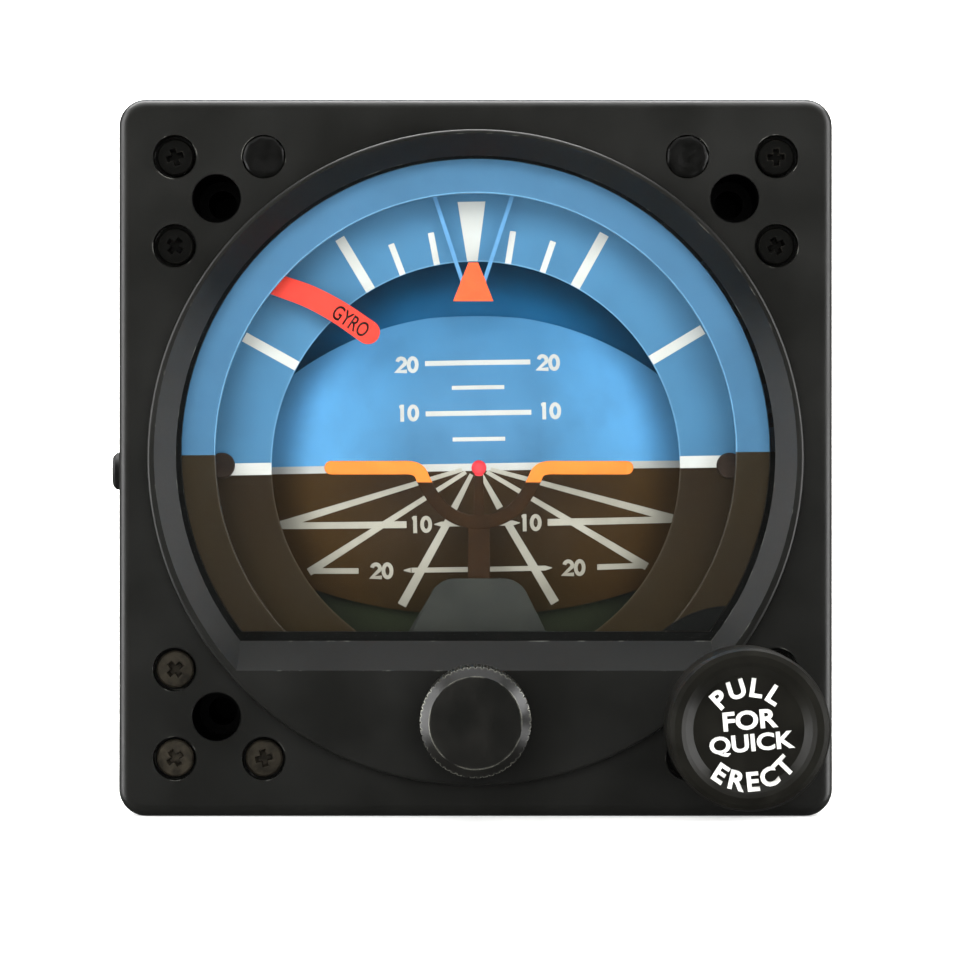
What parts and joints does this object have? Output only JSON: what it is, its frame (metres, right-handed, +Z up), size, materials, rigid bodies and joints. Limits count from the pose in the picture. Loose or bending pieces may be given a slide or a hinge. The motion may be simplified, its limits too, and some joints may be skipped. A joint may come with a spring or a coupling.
{
  "type": "attitude indicator",
  "caption": "Panel-mounted electric attitude indicator with a gimballed gyro, blue and brown moving dial, aeroplane symbol, warning flag, adjusting knob and pull-to-cage knob.",
  "frame": {"origin": "centre of the square bezel flange, on its front face", "axes": "+Y into the panel along the case, +X to the viewer's right, +Z up; the dial looks along -Y"},
  "size_m": [0.0894, 0.1745, 0.0872],
  "materials": {
    "bezel_black_paint": "satin black baked enamel",
    "black_screws": "black oxide",
    "sealing_compound": "matt",
    "window_glass": "clear polished",
    "black_rubber": "matt",
    "dial_paint": "matt dial enamel",
    "symbol_paint": "matt fluorescent orange",
    "flag_paint": "matt red",
    "carrier_grey": "matt dark grey",
    "case_black_paint": "satin black",
    "plain_aluminium": "machined",
    "steel": "ground",
    "brass": "turned",
    "moulded_plastic": "moulded",
    "knob_black": "satin moulded"
  },
  "bodies": {
    "case": {"front_bezel": "bezel_black_paint", "bezel_screws": "black_screws", "screw_seals": "sealing_compound", "window_glass": "window_glass", "glass_gasket": "black_rubber", "dial_mask": "dial_paint", "mask_spacer": "plain_aluminium", "cage_housing_plate": "carrier_grey", "bank_pointer": "symbol_paint", "case_body": "case_black_paint", "side_plug": "case_black_paint", "rear_cover": "case_black_paint", "rear_cover_screws": "black_screws", "connector_shell": "plain_aluminium", "connector_insert": "moulded_plastic", "connector_pins": "brass", "bearing_housing": "plain_aluminium", "board_pillars": "steel", "inverter_board": "moulded_plastic", "brush_block": "moulded_plastic", "roll_bearing_outer_races": "steel", "roll_bearing_balls": "steel", "symbol_guide": "plain_aluminium", "adjust_bushing": "brass", "pull_bushing": "brass", "pull_spring": "steel", "flag_coil": "moulded_plastic"},
    "roll_gimbal": {"roll_card": "dial_paint", "roll_card_screws": "brass", "roll_gimbal": "plain_aluminium", "roll_shaft": "steel", "shaft_nut": "steel", "cage_cam": "steel", "slip_rings": "brass", "roll_bearing_inner_races": "steel", "pitch_bearing_outer_races": "steel"},
    "pitch_gimbal": {"pitch_drum": "dial_paint", "inner_gimbal": "plain_aluminium", "pitch_bearing_inner_races": "steel", "rotor_case_top": "plain_aluminium", "rotor_case_bottom": "plain_aluminium", "motor_stator": "steel", "rotor_bearing_outer_races": "steel", "erector_cup": "plain_aluminium", "erector_lid": "plain_aluminium", "erector_balls": "steel"},
    "rotor": {"gyro_rotor": "brass", "rotor_shaft": "steel", "rotor_bearing_inner_races": "steel"},
    "symbol": {"aeroplane_symbol": "symbol_paint", "symbol_carrier": "carrier_grey"},
    "adjust_knob": {"adjust_knob": "knob_black", "adjust_shaft": "steel", "adjust_gear": "brass"},
    "pull_control": {"pull_knob": "knob_black", "pull_rod": "steel", "cage_yoke": "plain_aluminium"},
    "flag": {"flag_arm": "flag_paint", "flag_pin": "steel"}
  },
  "joints": [
    {"name": "roll", "type": "hinge", "parent": "case", "child": "roll_gimbal", "pos_m": [0, 0.107, -0.0009], "axis": [0, 1, 0], "continuous": true},
    {"name": "pitch", "type": "hinge", "parent": "roll_gimbal", "child": "pitch_gimbal", "pos_m": [0, 0.052, -0.0009], "axis": [1, 0, 0], "range_deg": [-80, 80]},
    {"name": "rotor_spin", "type": "hinge", "parent": "pitch_gimbal", "child": "rotor", "pos_m": [0, 0.052, -0.0009], "axis": [0, 0, 1], "continuous": true},
    {"name": "adjust_turn", "type": "hinge", "parent": "case", "child": "adjust_knob", "pos_m": [0, 0, -0.03145], "axis": [0, -1, 0], "range_deg": [-37.8, 37.8]},
    {"name": "symbol_lift", "type": "slide", "parent": "case", "child": "symbol", "axis": [0, 0, 1], "range_m": [-0.00195, 0.00195]},
    {"name": "pull", "type": "slide", "parent": "case", "child": "pull_control", "axis": [0, -1, 0], "range_m": [0, 0.008], "stiffness_N_per_m": 300, "springref_m": -0.002, "deforming": ["pull_spring"]},
    {"name": "flag_swing", "type": "hinge", "parent": "case", "child": "flag", "pos_m": [-0.0272, 0.008, 0.0223], "axis": [0, 1, 0], "range_deg": [-63, 0], "stiffness_Nm_per_rad": 0.0005, "springref_deg": 11.46}
  ],
  "couplings": [
    {"joint": "adjust_turn", "follows": "symbol_lift", "rad_per_m": 333.33}
  ]
}
